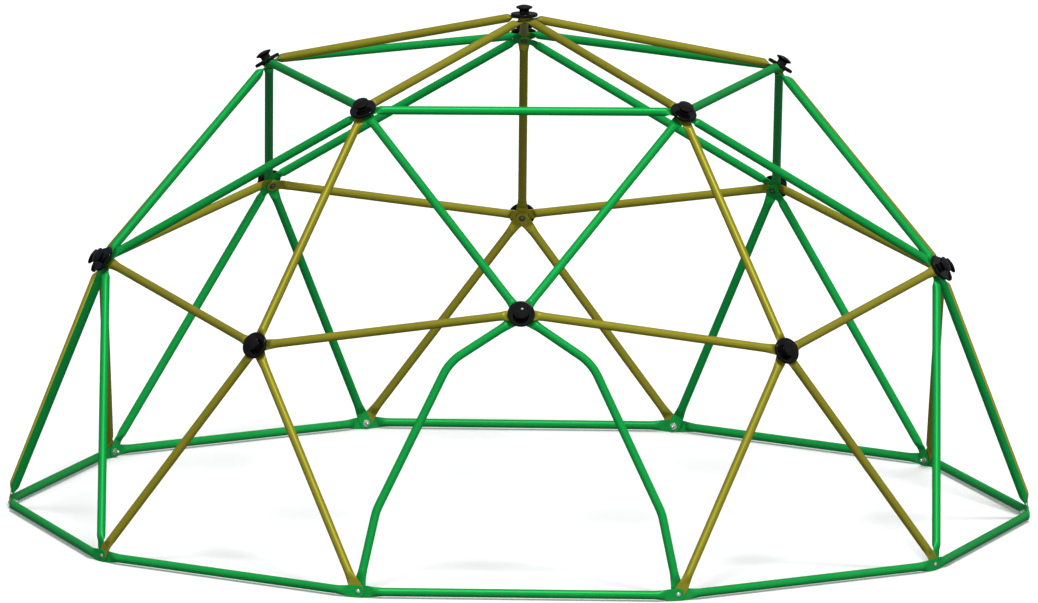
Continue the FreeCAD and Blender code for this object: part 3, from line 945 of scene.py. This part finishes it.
def add_tubes():
    singles = {
        "base_rail": (base_rails, "green_tube"),
        "middle_bar": (middle_bars, "yellow_tube"),
        "upper_yellow_bar": (upper_yellow, "yellow_tube"),
        "upper_ring_bar": (upper_ring, "green_tube"),
        "apex_spoke": (apex_spokes, "yellow_tube"),
    }
    pairs = {
        "green_leg_pair": (green_legs, "green_tube"),
        "yellow_leg_pair": (yellow_legs, "yellow_tube"),
        "upper_green_pair": (upper_green, "green_tube"),
    }
    add_piece("coated", "entry_tube_left", "green_tube", [tube_surface(door_left)])
    add_piece("coated", "entry_tube_right", "green_tube", [tube_surface(door_right)])
    groups = {}
    for name, (tubes, finish) in singles.items():
        groups[name] = ([[tube] for tube in tubes], finish)
    groups.update(pairs)
    for name, (nodes, finish) in groups.items():
        for number, tubes in enumerate(nodes, 1):
            surfaces = [tube_surface(tube) for tube in tubes]
            add_piece("coated", f"{name}_{number:02d}", finish, surfaces)


def along(start, direction):
    """Places a part made along +Z so that it starts at a point and runs along a direction."""
    turn = Vector((0, 0, 1)).rotation_difference(direction).to_matrix().to_4x4()
    return Matrix.Translation(start) @ turn


def outer_face(hub):
    return hub.half_stack()


def inner_washer_face(hub):
    return -hub.half_stack() - WASHER_T


def on_hubs(hubs, make, start_of, inwards=False):
    """One surface per hub, each on its hub's bolt axis."""
    placed = []
    for hub in hubs:
        direction = hub.axis * (-1 if inwards else 1)
        placed.append(make(hub).moved(along(hub.place + hub.axis * start_of(hub), direction)))
    return placed


def add_knobs():
    knob, insert = knob_surface(), insert_surface()
    for node, hubs in (
        ("apex_knob", [apex]),
        ("upper_hub_knobs", upper),
        ("middle_hub_knobs", five_way + six_way),
    ):
        surfaces = on_hubs(hubs, lambda hub: knob, outer_face)
        add_piece("moulded", node, "black_plastic", surfaces)
    inserts = on_hubs(raised_hubs, lambda hub: insert, outer_face)
    add_piece("plated", "knob_inserts", "zinc_steel", inserts)


def add_fasteners():
    def grip(hub):
        return 2 * hub.half_stack() + WASHER_T

    washer, nut = washer_surface(), acorn_nut_surface()
    parts = {
        "hub_washers": on_hubs(raised_hubs, lambda hub: washer, inner_washer_face),
        "hub_bolts": on_hubs(
            raised_hubs, lambda hub: hub_bolt_surface(grip(hub)), inner_washer_face
        ),
        "base_bolts": on_hubs(
            base, lambda hub: base_bolt_surface(grip(hub)), outer_face, inwards=True
        ),
        "base_washers": on_hubs(base, lambda hub: washer, inner_washer_face),
        "base_acorn_nuts": on_hubs(base, lambda hub: nut, inner_washer_face, inwards=True),
    }
    for node, surfaces in parts.items():
        add_piece("plated", node, "zinc_steel", surfaces)
    # The hub bolts and washers take the darker copy of the zinc, which is painted shade.
    for node in ("hub_bolts", "hub_washers"):
        bpy.data.objects[f"plated_{node}"].data.materials[0] = SHADED_ZINC


add_tubes()
add_knobs()
add_fasteners()


# ---- Floor, light and camera ----

FLOOR_HALF = 200.0
FLOOR_DROP = 0.0003          # keeps the floor just below the rails that rest on it
FLOOR_COLOUR = (0.93, 0.93, 0.93, 1.0)
FLOOR_GLOW = 0.12            # lit a little from below, so that the shadows stay faint
SKY_BRIGHT = (0.89, 0.89, 0.88, 1.0)
SKY_DARK = (0.100, 0.110, 0.150, 1.0)
SKY_TOWARDS = (0.23, -0.73, 0.64)    # where the studio is brightest, high in front
SKY_DARK_FROM = -0.56        # cosine of the angle from there at which it gets darkest
LAMP_STRENGTH = 1.85
LAMP_ANGLE = math.radians(12)        # how wide the lamp looks from the dome
LAMP_AZIMUTH = math.radians(15)      # to the right of the front
LAMP_ELEVATION = math.radians(64)

VIEW_PITCH = math.radians(9.58)
VIEW_ROLL = math.radians(0.6)
VIEW_CENTRE = Vector((-0.0066, 0.103, 0.621))     # what the middle of the view shows
VIEW_WIDTH = 3.086                   # what the view takes in, at the middle of the dome
LENS = 900.0                         # so long that the view is almost parallel
SENSOR = 36.0


def direction_to(azimuth, elevation):
    """Unit vector towards an azimuth, counted from the front to the right, and an elevation."""
    return Vector((
        math.sin(azimuth) * math.cos(elevation),
        -math.cos(azimuth) * math.cos(elevation),
        math.sin(elevation),
    ))


def add_floor():
    half = FLOOR_HALF
    corners = [(-half, -half), (half, -half), (half, half), (-half, half)]
    mesh = bpy.data.meshes.new("floor")
    mesh.from_pydata([(x, y, -FLOOR_DROP) for x, y in corners], [], [(0, 1, 2, 3)])
    finish = Finish("floor_paint")
    finish.shader.inputs["Base Color"].default_value = FLOOR_COLOUR
    finish.shader.inputs["Roughness"].default_value = 0.9
    finish.shader.inputs["Specular IOR Level"].default_value = 0.0
    finish.shader.inputs["Emission Color"].default_value = FLOOR_COLOUR
    finish.shader.inputs["Emission Strength"].default_value = FLOOR_GLOW
    mesh.materials.append(finish.material)
    floor = bpy.data.objects.new("floor", mesh)
    floor.visible_diffuse = False
    floor.visible_glossy = False
    bpy.context.scene.collection.objects.link(floor)


def add_sky():
    """Soft light from all round, brightest from high in front."""
    world = bpy.data.worlds.new("studio")
    world.use_nodes = True
    tree = world.node_tree
    direction = tree.nodes.new("ShaderNodeTexCoord").outputs["Generated"]
    facing = tree.nodes.new("ShaderNodeVectorMath")
    facing.operation = "DOT_PRODUCT"
    tree.links.new(direction, facing.inputs[0])
    facing.inputs[1].default_value = SKY_TOWARDS
    level = tree.nodes.new("ShaderNodeMapRange")
    tree.links.new(facing.outputs["Value"], level.inputs["Value"])
    level.inputs["From Min"].default_value = SKY_DARK_FROM
    colours = tree.nodes.new("ShaderNodeMix")
    colours.data_type = "RGBA"
    tree.links.new(level.outputs["Result"], colours.inputs["Factor"])
    ends = [s for s in colours.inputs if s.type == "RGBA"]
    for socket, colour in zip(ends, (SKY_DARK, SKY_BRIGHT)):
        socket.default_value = colour
    result = [s for s in colours.outputs if s.type == "RGBA"][0]
    tree.links.new(result, tree.nodes["Background"].inputs["Color"])
    bpy.context.scene.world = world


def add_lamp():
    """One round soft lamp, high in front and a little to the right."""
    light = bpy.data.lights.new("key_lamp", "SUN")
    light.angle = LAMP_ANGLE
    light.energy = LAMP_STRENGTH
    lamp = bpy.data.objects.new("key_lamp", light)
    towards = direction_to(LAMP_AZIMUTH, LAMP_ELEVATION)
    lamp.rotation_euler = towards.to_track_quat("Z", "Y").to_euler()
    bpy.context.scene.collection.objects.link(lamp)


def add_camera():
    """Looks along +Y and down, from so far away that the dome is seen almost in parallel."""
    lens = bpy.data.cameras.new("camera")
    lens.lens = LENS
    lens.sensor_width = SENSOR
    distance = VIEW_WIDTH * LENS / SENSOR
    lens.clip_start = 1.0
    lens.clip_end = 2 * distance
    camera = bpy.data.objects.new("camera", lens)
    back = direction_to(0.0, VIEW_PITCH)
    aim = back.to_track_quat("Z", "Y").to_matrix().to_4x4()
    roll = Matrix.Rotation(VIEW_ROLL, 4, "Z")
    camera.matrix_world = Matrix.Translation(VIEW_CENTRE + back * distance) @ aim @ roll
    bpy.context.scene.collection.objects.link(camera)
    bpy.context.scene.camera = camera


add_floor()
add_sky()
add_lamp()
add_camera()
bpy.context.scene.view_settings.view_transform = "Standard"
